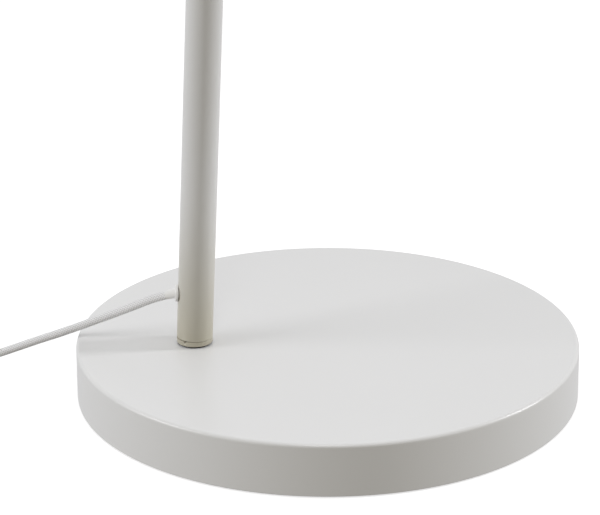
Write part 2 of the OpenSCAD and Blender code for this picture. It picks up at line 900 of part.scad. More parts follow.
base_cover();
base_weight();
base_plate();
plate_screws();
felt_pad();
pole_bolt();
bolt_washer();
lock_washer();
key_pin();
pole_collar();
pole_insert();
lower_pole();
middle_pole();
lower_joiner();
upper_joiner();
joiner_screws();
arc_tube();
cord_gland();
cord_clamp();
inner_flex();
end_insert();
swivel_fork();
swivel_washer();
swivel_clip();
stop_pin();
knuckle_flex();
head_knuckle();
pivot_screws();
pivot_washers();
spring_washers();
holder_flex();
holder_cup();
nipple_nut();
holder_cap();
holder_body();
terminal_block();
terminal_screws();
thread_sleeve();
centre_contact();
shade();
shade_ring();
bulb_cap();
bulb_collar();
bulb_globe();
cord_lead();
switch_base();
switch_cover();
switch_button();
switch_spring();
switch_block();
switch_screws();
switch_reliefs();
cord_run();
cord_coil();
cord_tie();
cord_tail();
plug_relief();
plug_body();
plug_pins();
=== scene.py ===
import json
import math

import bmesh
import bpy
from mathutils import Matrix, Vector


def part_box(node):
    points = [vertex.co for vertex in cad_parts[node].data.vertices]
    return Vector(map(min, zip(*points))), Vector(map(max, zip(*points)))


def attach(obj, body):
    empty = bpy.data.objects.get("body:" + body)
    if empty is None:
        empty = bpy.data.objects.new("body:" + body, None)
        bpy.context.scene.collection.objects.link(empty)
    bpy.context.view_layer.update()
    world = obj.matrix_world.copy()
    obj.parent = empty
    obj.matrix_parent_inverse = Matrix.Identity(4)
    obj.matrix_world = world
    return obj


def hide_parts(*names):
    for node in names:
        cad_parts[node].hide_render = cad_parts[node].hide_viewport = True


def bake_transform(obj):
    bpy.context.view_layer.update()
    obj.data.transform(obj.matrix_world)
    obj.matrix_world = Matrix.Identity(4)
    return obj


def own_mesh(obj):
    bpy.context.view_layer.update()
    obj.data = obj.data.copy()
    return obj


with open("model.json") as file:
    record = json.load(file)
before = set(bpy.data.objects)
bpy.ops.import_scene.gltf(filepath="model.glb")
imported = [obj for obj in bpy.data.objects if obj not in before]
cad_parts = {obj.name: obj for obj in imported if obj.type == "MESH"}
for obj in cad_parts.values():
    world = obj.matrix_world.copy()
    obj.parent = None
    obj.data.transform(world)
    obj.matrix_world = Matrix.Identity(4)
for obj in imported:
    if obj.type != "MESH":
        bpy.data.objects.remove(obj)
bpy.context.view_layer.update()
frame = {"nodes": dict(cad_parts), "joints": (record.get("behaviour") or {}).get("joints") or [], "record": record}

MM = 0.001
TAU = 2 * math.pi

# ---------------------------------------------------------------- places taken from the frame
JOINTS = {j["name"]: j for j in frame["joints"]}


def low(node):
    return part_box(node)[0]


def high(node):
    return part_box(node)[1]


def middle(node):
    return (low(node) + high(node)) / 2


def half_width(node):
    return (high(node).x - low(node).x) / 2


UP = Vector(JOINTS["head_swivel"]["axis"]).normalized()  # along the raked pole
ACROSS = Vector((UP.z, 0, -UP.x))  # towards the arc, square to the pole
ARC_END = Vector(JOINTS["head_swivel"]["pos_m"])
PIVOT = Vector(JOINTS["head_tilt"]["pos_m"])
TUBE_R = half_width("pole_collar")
TUBE_WALL = 1.5 * MM
BORE_R = TUBE_R - TUBE_WALL
FOOT = Vector((middle("pole_collar").x, 0, high("pole_collar").z))
EDGE = 0.4 * MM  # rounding of the tubes' cut ends
GRUB_STEP = 15 * MM  # from a joiner's middle to its grub screws
CORD_D = 5.5 * MM
BRAID_R = CORD_D / 2 + 0.1 * MM  # the braid stands a little proud where it is seen
CORD_HOLE_R = CORD_D / 2 + 0.15 * MM


def in_pole(z):
    """Frame with its origin z up the pole and its Z axis along it."""
    at = FOOT + UP * z
    return Matrix((
        (ACROSS.x, 0, UP.x, at.x), (ACROSS.y, 1, UP.y, at.y), (ACROSS.z, 0, UP.z, at.z), (0, 0, 0, 1),
    ))


def up_pole(point):
    return (Vector(point) - FOOT).dot(UP)


def upright(x, y, z=0.0):
    return Matrix.Translation((x, y, z))


def facing(at, direction):
    """Frame at a point with its Z axis along a direction."""
    return Matrix.Translation(at) @ Vector(direction).to_track_quat("Z", "Y").to_matrix().to_4x4()


# ---------------------------------------------------------------- camera
def add_camera():
    """The photograph's viewpoint, set by matching the base's outline and the pole's edges."""
    place = (-0.12532, -1.93304, 0.86560)
    heading, below_level, roll = -3.149, 21.597, -0.273
    angles = zip((heading, 90 - below_level, roll), "ZXZ")
    turns = [Matrix.Rotation(math.radians(angle), 4, axis) for angle, axis in angles]
    camera = bpy.data.objects.new("camera", bpy.data.cameras.new("camera"))
    bpy.context.scene.collection.objects.link(camera)
    camera.matrix_world = Matrix.Translation(place) @ turns[0] @ turns[1] @ turns[2]
    camera.data.sensor_width = 36
    camera.data.lens = 181.177
    camera.data.clip_start, camera.data.clip_end = 0.1, 100
    bpy.context.scene.camera = camera


add_camera()


# ---------------------------------------------------------------- mesh building
def make_object(name, vertices, faces, sharp=32, uvs=None):
    """Smooth-shaded object, with hard edges where its faces meet at more than sharp degrees."""
    mesh = bpy.data.meshes.new(name)
    mesh.from_pydata([tuple(v) for v in vertices], [], faces)
    if uvs:
        layer = mesh.uv_layers.new(name="along")
        layer.data.foreach_set("uv", [c for uv in uvs for c in uv])
    mesh.validate()
    mesh.shade_smooth()
    mesh.set_sharp_from_angle(angle=math.radians(sharp))
    made = bpy.data.objects.new(name, mesh)
    bpy.context.scene.collection.objects.link(made)
    return made


def face_outwards(made):
    work = bmesh.new()
    work.from_mesh(made.data)
    bmesh.ops.recalc_face_normals(work, faces=work.faces)
    work.to_mesh(made.data)
    work.free()


def skin(name, rings, closed=False, sharp=32, lengths=None):
    """Surface through rings of points; its ends are capped, or joined if it is closed. The lengths, one for
    each ring, give it UVs."""
    sides = len(rings[0])
    count = len(rings)
    faces, uvs = [], []
    for i in range(count if closed else count - 1):
        a, b = i * sides, (i + 1) % count * sides
        for k in range(sides):
            j = (k + 1) % sides
            faces.append((a + k, a + j, b + j, b + k))
            if lengths:
                u, v, s, t = k / sides, (k + 1) / sides, lengths[i], lengths[i + 1]
                uvs += [(u, s), (v, s), (v, t), (u, t)]
    if not closed:
        faces.append(tuple(range(sides - 1, -1, -1)))
        faces.append(tuple((count - 1) * sides + k for k in range(sides)))
        if lengths:
            uvs += [(0, lengths[0])] * sides + [(0, lengths[-1])] * sides
    made = make_object(name, [p for ring in rings for p in ring], faces, sharp, uvs)
    if not lengths:
        face_outwards(made)
        made.data.set_sharp_from_angle(angle=math.radians(sharp))
    return made


def outline(corners, steps=6, closed=True):
    """Corners as (radius, height, fillet), turned into points with every fillet as an arc, and a point just
    before and after it that keeps the flats flat."""
    most, support = 0.45, 0.15  # shares of the shorter side and of the cut
    points = []
    count = len(corners)
    for i, (r, z, fillet) in enumerate(corners):
        at = Vector((r, z))
        if not fillet or (not closed and i in (0, count - 1)):
            points.append(at)
            continue
        back = Vector(corners[i - 1][:2]) - at
        on = Vector(corners[(i + 1) % count][:2]) - at
        room = most * min(back.length, on.length)
        back.normalize()
        on.normalize()
        half = back.angle(on) / 2
        cut = min(fillet / math.tan(half), room)
        centre = at + (back + on).normalized() * (cut / math.cos(half))
        start = at + back * cut - centre
        sweep = math.pi - 2 * half
        if back.x * on.y - back.y * on.x > 0:
            sweep = -sweep
        points.append(at + back * (cut + support * cut))
        for k in range(steps + 1):
            a = sweep * k / steps
            c, s = math.cos(a), math.sin(a)
            points.append(centre + Vector((c * start.x - s * start.y, s * start.x + c * start.y)))
        points.append(at + on * (cut + support * cut))
    return points


def meridian(radius, a0, a1, steps):
    """Points of a sphere's section, for lathe; the angles are counted from its top."""
    return [Vector((radius * math.sin(a), radius * math.cos(a)))
            for a in (a0 + (a1 - a0) * k / steps for k in range(steps + 1))]


def lathe(name, points, place, sides=96, closed=True, sharp=32, ripple=None):
    """Surface of revolution of (radius, height) points about the Z axis of place. The ripple, a function of
    angle, radius and height, is added to the radius."""
    rings = []
    for r, z in points:
        ring = []
        for k in range(sides):
            a = TAU * k / sides
            out = r + (ripple(a, r, z) if ripple else 0)
            ring.append(place @ Vector((out * math.cos(a), out * math.sin(a), z)))
        rings.append(ring)
    return skin(name, rings, closed, sharp)


def smooth_path(route, step):
    """Catmull-Rom curve through a route's points, with a point about every step."""
    p = [Vector(x) for x in route]
    p = [2 * p[0] - p[1]] + p + [2 * p[-1] - p[-2]]
    out = []
    for i in range(1, len(p) - 2):
        a, b, c, d = p[i - 1:i + 3]
        cuts = max(2, round((c - b).length / step))
        for k in range(cuts):
            t = k / cuts
            out.append(0.5 * (2 * b + (c - a) * t + (2 * a - 5 * b + 4 * c - d) * t * t
                              + (3 * b - a - 3 * c + d) * t ** 3))
    return out + [p[-2]]


def frames_along(path, normal):
    """For each point of a path, two directions across it that turn as little as they can."""
    found = []
    for i, at in enumerate(path):
        along = (path[min(i + 1, len(path) - 1)] - path[max(i - 1, 0)]).normalized()
        normal = (normal - along * normal.dot(along)).normalized()
        found.append((at, normal, along.cross(normal)))
    return found


def tube_rings(path, radii, sides, normal):
    rings = []
    for (at, a, b), r in zip(frames_along(path, Vector(normal)), radii):
        rings.append([
            at + r * (math.cos(TAU * k / sides) * a + math.sin(TAU * k / sides) * b) for k in range(sides)
        ])
    return rings


def tube(name, path, radius, sides, normal=(0, 0, 1)):
    """Solid round tube along a path, with UVs of turns round it and circumferences along it."""
    lengths, run = [0.0], 0.0
    for a, b in zip(path, path[1:]):
        run += (b - a).length / (TAU * radius)
        lengths.append(run)
    return skin(name, tube_rings(path, [radius] * len(path), sides, normal), lengths=lengths)


def drill(made, at, direction, radius, depth):
    """Cuts a round hole into a piece."""
    walls = [(radius, -depth / 2), (radius, depth / 2)]
    cutter = lathe("cutter", walls, facing(at, direction), 32, closed=False)
    cut = made.modifiers.new("hole", "BOOLEAN")
    cut.object = cutter
    cut.solver = "EXACT"
    evaluated = made.evaluated_get(bpy.context.evaluated_depsgraph_get())
    mesh = bpy.data.meshes.new_from_object(evaluated)
    made.modifiers.clear()
    made.data = mesh
    bpy.data.objects.remove(cutter)


# ---------------------------------------------------------------- materials
class Shader:
    """A material on one Principled shader, with short ways to add procedural detail."""

    def __init__(self, name, colour, roughness, **sockets):
        self.material = bpy.data.materials.new(name)
        self.material.use_nodes = True
        self.nodes = self.material.node_tree.nodes
        self.links = self.material.node_tree.links
        self.shader = self.nodes["Principled BSDF"]
        self.colour = colour
        self.roughness = roughness
        self.set("Base Color", (*colour, 1))
        self.set("Roughness", roughness)
        for socket, value in sockets.items():
            self.set(socket.replace("_", " "), value)
        self.place = self.nodes.new("ShaderNodeTexCoord").outputs["Object"]

    def set(self, socket, value):
        self.shader.inputs[socket].default_value = value

    def noise(self, scale, detail=3.0, stretch=None):
        place = self.stretched(stretch) if stretch else self.place
        node = self.nodes.new("ShaderNodeTexNoise")
        node.inputs["Scale"].default_value = scale
        node.inputs["Detail"].default_value = detail
        self.links.new(place, node.inputs["Vector"])
        return node.outputs["Fac"]

    def math(self, operation, a, b=None, c=None):
        node = self.nodes.new("ShaderNodeMath")
        node.operation = operation
        for socket, value in zip(node.inputs, (a, b, c)):
            if isinstance(value, (int, float)):
                socket.default_value = value
            elif value is not None:
                self.links.new(value, socket)
        return node.outputs[0]

    def stretched(self, factors):
        node = self.nodes.new("ShaderNodeVectorMath")
        node.operation = "MULTIPLY"
        self.links.new(self.place, node.inputs[0])
        node.inputs[1].default_value = factors
        return node.outputs[0]

    def shades(self, factor, dark, light):
        """Base colour between two shades of the material's colour."""
        node = self.nodes.new("ShaderNodeMix")
        node.data_type = "RGBA"
        node.inputs["A"].default_value = (*(c * dark for c in self.colour), 1)
        node.inputs["B"].default_value = (*(min(1, c * light) for c in self.colour), 1)
        self.links.new(factor, node.inputs["Factor"])
        self.links.new(node.outputs["Result"], self.shader.inputs["Base Color"])
        return self

    def paint_foot_shade(self, tint):
        """Multiplies the base colour by a tint at the floor as painted shade, darker and warmer there, fading out
        four times as high as the foot.
        """
        split = self.nodes.new("ShaderNodeSeparateXYZ")
        self.links.new(self.place, split.inputs[0])
        reach = self.nodes.new("ShaderNodeMapRange")
        reach.interpolation_type = "SMOOTHSTEP"
        reach.inputs["From Min"].default_value = 0
        reach.inputs["From Max"].default_value = 4 * FOOT.z
        self.links.new(split.outputs["Z"], reach.inputs["Value"])
        tints = self.nodes.new("ShaderNodeMix")
        tints.data_type = "RGBA"
        tints.inputs["A"].default_value = (*tint, 1)
        tints.inputs["B"].default_value = (1, 1, 1, 1)
        self.links.new(reach.outputs["Result"], tints.inputs["Factor"])
        both = self.nodes.new("ShaderNodeMix")
        both.data_type = "RGBA"
        both.blend_type = "MULTIPLY"
        both.inputs["Factor"].default_value = 1
        base = self.shader.inputs["Base Color"]
        self.links.new(base.links[0].from_socket, both.inputs["A"])
        self.links.new(tints.outputs["Result"], both.inputs["B"])
        self.links.new(both.outputs["Result"], base)

    def rough(self, factor, spread):
        """Roughness that varies by spread about the material's own."""
        value = self.math("MULTIPLY_ADD", factor, spread, self.roughness - spread / 2)
        self.links.new(value, self.shader.inputs["Roughness"])
        return self

    def bump(self, height, distance):
        """Relief of a height in metres, on top of any that the material has."""
        node = self.nodes.new("ShaderNodeBump")
        node.inputs["Distance"].default_value = distance
        node.inputs["Strength"].default_value = 1
        self.links.new(height, node.inputs["Height"])
        before = self.shader.inputs["Normal"].links
        if before:
            self.links.new(before[0].from_socket, node.inputs["Normal"])
        self.links.new(node.outputs["Normal"], self.shader.inputs["Normal"])
        return self


def paint_material(name="paint", foot_shade_tint=None):
    """Satin powder coat: light grey with a fine orange peel. The pole's version has painted shade that makes it
    warmer and duller towards the foot.
    """
    s = Shader(name, (0.735, 0.735, 0.733), 0.30, Specular_IOR_Level=0.5)
    s.shades(s.noise(9, 4), 0.985, 1.015).rough(s.noise(260, 2), 0.05)
    s.bump(s.noise(950, 2), 0.012 * MM).bump(s.noise(4200, 1), 0.002 * MM)
    if foot_shade_tint:
        s.paint_foot_shade(foot_shade_tint)
    return s.material


def enamel_material():
    """Whiter matt paint of the shade's inside."""
    s = Shader("enamel", (0.84, 0.84, 0.83), 0.55)
    s.shades(s.noise(14, 4), 0.98, 1.01).bump(s.noise(1100, 2), 0.012 * MM)
    return s.material


def iron_material():
    s = Shader("iron", (0.11, 0.11, 0.115), 0.7, Metallic=0.3)
    s.shades(s.noise(40, 6), 0.7, 1.35).rough(s.noise(120, 4), 0.25).bump(s.noise(420, 5), 0.15 * MM)
    return s.material


def steel_material():
    s = Shader("steel", (0.58, 0.585, 0.60), 0.32, Metallic=1.0)
    s.shades(s.noise(60, 5), 0.86, 1.08).rough(s.noise(300, 3), 0.16)
    s.bump(s.noise(700, 3, stretch=(1, 1, 6)), 0.006 * MM)
    return s.material


def black_steel_material():
    s = Shader("black_steel", (0.035, 0.035, 0.038), 0.42, Metallic=0.7)
    s.shades(s.noise(250, 4), 0.7, 1.5).rough(s.noise(500, 3), 0.2).bump(s.noise(1500, 3), 0.01 * MM)
    return s.material


def felt_material():
    s = Shader("felt", (0.075, 0.075, 0.08), 0.95, Sheen_Weight=0.6, Sheen_Roughness=0.5)
    fibres = s.noise(1400, 6, stretch=(1, 0.35, 1))
    s.shades(fibres, 0.5, 1.9).bump(fibres, 0.25 * MM).bump(s.noise(160, 4), 0.2 * MM)
    return s.material


def white_plastic_material():
    s = Shader("white_plastic", (0.80, 0.80, 0.79), 0.36, Subsurface_Weight=0.06)
    s.set("Subsurface Scale", 0.6 * MM)
    s.set("Subsurface Radius", (1, 0.98, 0.95))
    s.shades(s.noise(30, 3), 0.985, 1.01).rough(s.noise(400, 3), 0.08).bump(s.noise(2600, 2), 0.008 * MM)
    return s.material


def button_plastic_material():
    s = Shader("button_plastic", (0.60, 0.60, 0.59), 0.42)
    s.shades(s.noise(60, 3), 0.97, 1.03).rough(s.noise(500, 3), 0.1).bump(s.noise(1900, 2), 0.015 * MM)
    return s.material


def black_plastic_material():
    s = Shader("black_plastic", (0.028, 0.028, 0.028), 0.4)
    s.shades(s.noise(90, 4), 0.8, 1.4).rough(s.noise(500, 3), 0.12).bump(s.noise(1800, 3), 0.012 * MM)
    return s.material


def tie_rubber_material():
    s = Shader("tie_rubber", (0.045, 0.045, 0.047), 0.7, Sheen_Weight=0.15)
    s.shades(s.noise(120, 4), 0.75, 1.5).rough(s.noise(300, 3), 0.15)
    s.bump(s.noise(1500, 3, stretch=(5, 1, 1)), 0.06 * MM)
    return s.material


def porcelain_material():
    s = Shader("porcelain", (0.82, 0.80, 0.74), 0.3)
    s.shades(s.noise(80, 5), 0.96, 1.03).rough(s.noise(200, 3), 0.1).bump(s.noise(900, 3), 0.015 * MM)
    return s.material


def brass_material():
    s = Shader("brass", (0.68, 0.50, 0.22), 0.28, Metallic=1.0)
    s.shades(s.noise(70, 5), 0.8, 1.1).rough(s.noise(250, 3), 0.18)
    s.bump(s.noise(900, 3, stretch=(1, 1, 5)), 0.005 * MM)
    return s.material


def nickel_material():
    s = Shader("nickel", (0.70, 0.69, 0.67), 0.18, Metallic=1.0)
    s.shades(s.noise(80, 4), 0.9, 1.06).rough(s.noise(300, 3), 0.14)
    s.bump(s.noise(1200, 2, stretch=(1, 1, 5)), 0.003 * MM)
    return s.material


def opal_material():
    s = Shader("opal", (0.88, 0.87, 0.84), 0.12, Subsurface_Weight=0.35, Coat_Weight=0.3, Coat_Roughness=0.05)
    s.set("Subsurface Scale", 6 * MM)
    s.set("Subsurface Radius", (1, 0.97, 0.92))
    s.shades(s.noise(12, 3), 0.985, 1.01).rough(s.noise(40, 3), 0.05).bump(s.noise(160, 2), 0.01 * MM)
    return s.material


def braid_material():
    """Textile braid: two families of yarns that pass over and under each other, from the cord's UVs."""
    s = Shader("braid", (0.91, 0.91, 0.92), 0.78, Sheen_Weight=0.25, Sheen_Roughness=0.4)
    yarns, slope = 8, 1.1
    uv = s.nodes.new("ShaderNodeUVMap")
    split = s.nodes.new("ShaderNodeSeparateXYZ")
    s.links.new(uv.outputs["UV"], split.inputs[0])
    along = s.math("MULTIPLY", split.outputs["Y"], slope)
    families = []
    for sign in (1, -1):
        turn = s.math("MULTIPLY", s.math("MULTIPLY_ADD", along, sign, split.outputs["X"]), yarns)
        whole = s.math("FLOOR", turn)
        across = s.math("MULTIPLY_ADD", s.math("FRACT", turn), 2, -1)
        fall = s.math("SUBTRACT", 1, s.math("MULTIPLY", across, across))
        families.append((whole, s.math("SQRT", s.math("MAXIMUM", fall, 0))))
    (whole_a, crown_a), (whole_b, crown_b) = families
    over = s.math("FLOORED_MODULO", s.math("ADD", whole_a, whole_b), 2)
    under = s.math("SUBTRACT", 1, over)
    height = s.math("MULTIPLY_ADD", crown_a, over, s.math("MULTIPLY", crown_b, under))
    fibres = s.noise(5200, 3)
    # Painted shade: the colour darkens where each yarn dips at its edges; the fibre noise adds the cord's own
    # uneven tone.
    tone = s.math("MULTIPLY_ADD", fibres, 0.3, s.math("MULTIPLY", height, 0.75))
    s.shades(tone, 0.36, 1.06).bump(height, 0.4 * MM).bump(fibres, 0.05 * MM)
    return s.material


SLOTS = {
    "paint": paint_material, "iron": iron_material, "steel": steel_material,
    "black_steel": black_steel_material, "felt": felt_material, "white_plastic": white_plastic_material,
    "button_plastic": button_plastic_material, "black_plastic": black_plastic_material,
    "tie_rubber": tie_rubber_material, "porcelain": porcelain_material, "brass": brass_material,
    "nickel": nickel_material, "opal": opal_material, "braid": braid_material,
}
MATERIALS = {slot: build() for slot, build in SLOTS.items()}
# Pole paint with painted shade, warmer and duller towards the floor.
FOOT_SHADED_PAINT = paint_material("paint_foot_shaded", (0.625, 0.58, 0.435))
# Collar paint with deeper painted shade than the pole's foot.
COLLAR_SHADED_PAINT = paint_material("paint_collar_shaded", (0.52, 0.475, 0.345))


def finish_frame_nodes():
    """Every CAD node takes the material of its own slot."""
    for row in frame["record"]["subparts"]:
        mesh = frame["nodes"][row["node"]].data
        mesh.materials.clear()
        mesh.materials.append(MATERIALS[row["material_slot"]])


finish_frame_nodes()


def piece(made, body, slot, *nodes, finish=None):
    """A finished piece: its material, the body it rides on and the CAD nodes it stands for."""
    made.data.materials.append(finish or MATERIALS[slot])
    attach(made, body)
    if nodes:
        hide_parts(*nodes)
    return made


# ---------------------------------------------------------------- cords
# Routes as in part.scad. The lead runs from the pole's outlet past the base's rim to the foot switch, the run
# from the switch round a half turn on the floor to the coil, and the tail from the coil to the plug.
LEAD_ROUTE = [
    (-0.1055, 0, 0.075), (-0.112, 0.001, 0.0732), (-0.122, 0.003, 0.0696), (-0.134, 0.0055, 0.0640),
    (-0.148, 0.0085, 0.0575), (-0.161, 0.011, 0.0517), (-0.174, 0.0135, 0.0460), (-0.188, 0.0165, 0.0400),
    (-0.202, 0.020, 0.0341), (-0.216, 0.0235, 0.0279), (-0.230, 0.0265, 0.0220), (-0.244, 0.0295, 0.0163),
    (-0.258, 0.032, 0.0112), (-0.273, 0.0345, 0.0069), (-0.288, 0.036, 0.004), (-0.303, 0.0365, 0.003),
    (-0.318, 0.036, 0.003), (-0.333, 0.0335, 0.003), (-0.347, 0.0285, 0.0032), (-0.359, 0.021, 0.004),
    (-0.368, 0.0115, 0.0056), (-0.3735, 0.0035, 0.007), (-0.376, -0.003, 0.008),
]
RUN_TURN, RUN_CENTRE = 23.5 * MM, (-0.3525, -0.1405)
RUN_ROUTE = [
    (-0.376, -0.117, 0.008), (-0.376, -0.1285, 0.0062),
    *((RUN_CENTRE[0] - RUN_TURN * math.cos(a), RUN_CENTRE[1] - RUN_TURN * math.sin(a), z)
      for a, z in ((TAU * k / 16, max(0.0031, 0.0045 - 0.0006 * k)) for k in range(9))),
    (-0.329, -0.128, 0.0031), (-0.3292, -0.112, 0.0031), (-0.3298, -0.095, 0.0032),
    (-0.3306, -0.078, 0.0033), (-0.3315, -0.062, 0.0035), (-0.3315, -0.048, 0.0037),
]
TAIL_ROUTE = [
    (-0.2626, -0.043, 0.0145), (-0.2622, -0.055, 0.013), (-0.2624, -0.067, 0.0106),
    (-0.2628, -0.078, 0.0083), (-0.263, -0.089, 0.0069),
]


def coil_path():
    """Turns of the stored cord, clockwise from the side away from the base: three in, three out above them,
    and half a turn on top. Each turn eases to its own radius and height over its first part."""
    centre = middle("cord_coil")
    outer = half_width("cord_coil") - CORD_D / 2
    floor = low("cord_coil").z + CORD_D / 2
    rings = [(outer - CORD_D * n, floor) for n in range(3)]
    rings += [(r, floor + CORD_D) for r, _ in reversed(rings)]
    top_inset = 2.5 * MM
    rings += [(outer - top_inset, floor + 2 * CORD_D)]
    turns, steps, haste = 6.5, 48, 2.5
    path = []
    for k in range(int(turns * steps)):
        turn = k / steps
        n = int(turn)
        before, now = rings[max(n - 1, 0)], rings[n]
        share = min(1, haste * (turn - n))
        share = share * share * (3 - 2 * share)
        r, z = (b + (c - b) * share for b, c in zip(before, now))
        a = math.pi - TAU * turn
        path.append(Vector((centre.x + r * math.cos(a), centre.y + r * math.sin(a), z)))
    return path


def add_cords():
    """The cord's two lengths, with the paths that they follow."""
    step = 2 * MM
    lead_path = smooth_path(LEAD_ROUTE, step)
    lead = tube("cord_to_switch", lead_path, BRAID_R, 24)
    piece(lead, "root", "braid", "cord_lead")
    coil = coil_path()
    stored_path = smooth_path(RUN_ROUTE + coil[:2], step)[:-1] + smooth_path(coil[1:] + TAIL_ROUTE, step)
    stored = tube("cord_to_plug", stored_path, CORD_D / 2, 20)
    piece(stored, "root", "braid", "cord_run", "cord_coil", "cord_tail")
    return lead, lead_path, stored, stored_path


lead, lead_path, stored, stored_path = add_cords()


# ---------------------------------------------------------------- base and pole
def add_base():
    """Drawn and painted cover, open below, with a rolled rim."""
    top, foot, r = high("base_cover").z, low("base_cover").z, half_width("base_cover")
    sheet, rim, inner_rim, lip, centre = 2 * MM, 2.4 * MM, 0.8 * MM, 0.7 * MM, 0.5 * MM
    points = outline([
        (centre, top, 0), (r, top, rim), (r, foot, lip), (r - sheet, foot, lip),
        (r - sheet, top - sheet, inner_rim), (centre, top - sheet, 0),
    ], 12, closed=False)
    cover = lathe("base_shell", points, upright(0, 0), 256, closed=False)
    return piece(cover, "root", "paint", "base_cover")


def add_collar():
    """Turned ring under the pole, with a step that makes a shadow gap below it and a small locating notch in its
    top edge. The step's faces in the gap are coloured black as painted shade."""
    top, foot, bore = high("pole_collar").z, low("pole_collar").z, 5.4 * MM
    gap, inset, edge, slack = 1.3 * MM, 1.5 * MM, 0.2 * MM, 0.01 * MM
    points = outline([
        (bore, foot, 0), (TUBE_R - inset, foot, 0), (TUBE_R - inset, foot + gap, 0),
        (TUBE_R, foot + gap, edge), (TUBE_R, top, edge), (bore, top, 0),
    ])
    collar = lathe("foot_collar", points, upright(FOOT.x, 0), 128)
    notch_side, notch_r, notch_depth = Vector((-0.56, -0.83, 0)), 1 * MM, 5 * MM
    drill(collar, FOOT + notch_side * TUBE_R, notch_side, notch_r, notch_depth)
    # The collar's paint carries painted shade, darker near the base.
    piece(collar, "root", "paint", "pole_collar", finish=COLLAR_SHADED_PAINT)
    # Painted shade: the faces under the gap take black steel, standing in for the shadow in the gap.
    collar.data.materials.append(MATERIALS["black_steel"])
    for face in collar.data.polygons:
        if face.center.z < foot + gap + slack:
            face.material_index = 1


POLE_PIECES = []  # what the key light skips


def straight_tube(name, start, end, holes, foot_edge, *nodes):
    """One straight section of the pole, with the grub screws' holes in its back."""
    length = end - start
    points = outline([
        (BORE_R, 0, 0), (TUBE_R, 0, foot_edge), (TUBE_R, length, EDGE), (BORE_R, length, 0),
    ])
    made = lathe(name, points, in_pole(start), 128)
    drill_grub_holes(made, holes)
    POLE_PIECES.append(made)
    # The tube's paint has painted shade towards the foot.
    return piece(made, "root", "paint", *nodes, finish=FOOT_SHADED_PAINT)


def drill_grub_holes(made, heights):
    hole_r, depth = 2.1 * MM, 4 * MM
    for z in heights:
        drill(made, FOOT + UP * z + Vector((0, TUBE_R, 0)), (0, 1, 0), hole_r, depth)


def add_pole():
    """Two straight sections and the arc, a half circle with a straight end on each side."""
    seat = TUBE_R * math.tan(math.asin(UP.x))
    first, second = up_pole(middle("lower_joiner")), up_pole(middle("upper_joiner"))
    straight_tube("lower_tube", seat, first, [first - GRUB_STEP], EDGE / 2, "lower_pole")
    straight_tube("middle_tube", first, second, [first + GRUB_STEP, second - GRUB_STEP], EDGE, "middle_pole")
    arc_r = (ARC_END - FOOT).dot(ACROSS) / 2
    centre = Vector((high("arc_tube").x - arc_r - TUBE_R, 0, high("arc_tube").z - arc_r - TUBE_R))
    bend = up_pole(centre)
    tail = bend - up_pole(ARC_END)
    path, radii = [], []
    ease = [(0, EDGE), (0.3 * EDGE, 0.3 * EDGE), (EDGE, 0), (3 * EDGE, 0)]
    lead_in = bend - second
    for d, cut in ease:
        path.append(FOOT + UP * (second + d))
        radii.append(TUBE_R - cut)
    path += [FOOT + UP * (second + lead_in * t) for t in (0.25, 0.5, 0.75)]
    steps = 144
    for k in range(steps + 1):
        a = math.pi - math.pi * k / steps
        path.append(FOOT + ACROSS * (arc_r + arc_r * math.cos(a)) + UP * (bend + arc_r * math.sin(a)))
    end = FOOT + ACROSS * 2 * arc_r + UP * bend
    path += [end - UP * tail * t for t in (0.3, 0.6)]
    radii += [TUBE_R] * (len(path) - len(radii))
    for d, cut in reversed(ease):
        path.append(end - UP * (tail - d))
        radii.append(TUBE_R - cut)
    sides = 96
    outer = tube_rings(path, radii, sides, (0, 1, 0))
    inner = tube_rings(path, [BORE_R] * len(path), sides, (0, 1, 0))
    arc = skin("arc_bend", outer + inner[::-1], closed=True)
    drill_grub_holes(arc, [second + GRUB_STEP])
    POLE_PIECES.append(arc)
    piece(arc, "root", "paint", "arc_tube")


def add_outlet():
    """Snap-in bushing where the cord leaves the pole, and its short sleeve that follows the cord."""
    z = up_pole(middle("cord_gland"))
    place = in_pole(z) @ Matrix.Rotation(-math.pi / 2, 4, "Y")
    wall, flange, inner_end = 4 * MM, 5.9 * MM, 8 * MM
    face = TUBE_R + 2 * MM
    points = outline([
        (CORD_HOLE_R, inner_end, 0), (wall, inner_end, 0.3 * MM), (wall, TUBE_R, 0),
        (flange, TUBE_R, 0.3 * MM), (flange, face, 0.9 * MM), (CORD_HOLE_R, face, 0.2 * MM),
    ])
    bushing = lathe("outlet_bushing", points, place, 64)
    piece(bushing, "root", "white_plastic", "cord_gland")
    reach = [place @ Vector((0, 0, TUBE_R)), place @ Vector((0, 0, face - 0.3 * MM))]
    start, end, wide = 1 * MM, 5.5 * MM, 3.8 * MM
    reach += [at for at in lead_path if start < FOOT.x - face - at.x < end]
    radii = [wide + (CORD_HOLE_R - wide) * n / (len(reach) - 1) for n in range(len(reach))]
    sleeve = skin("outlet_sleeve", tube_rings(reach, radii, 48, (0, 1, 0)), sharp=50)
    piece(sleeve, "root", "white_plastic")


add_base()
add_collar()
add_pole()
add_outlet()


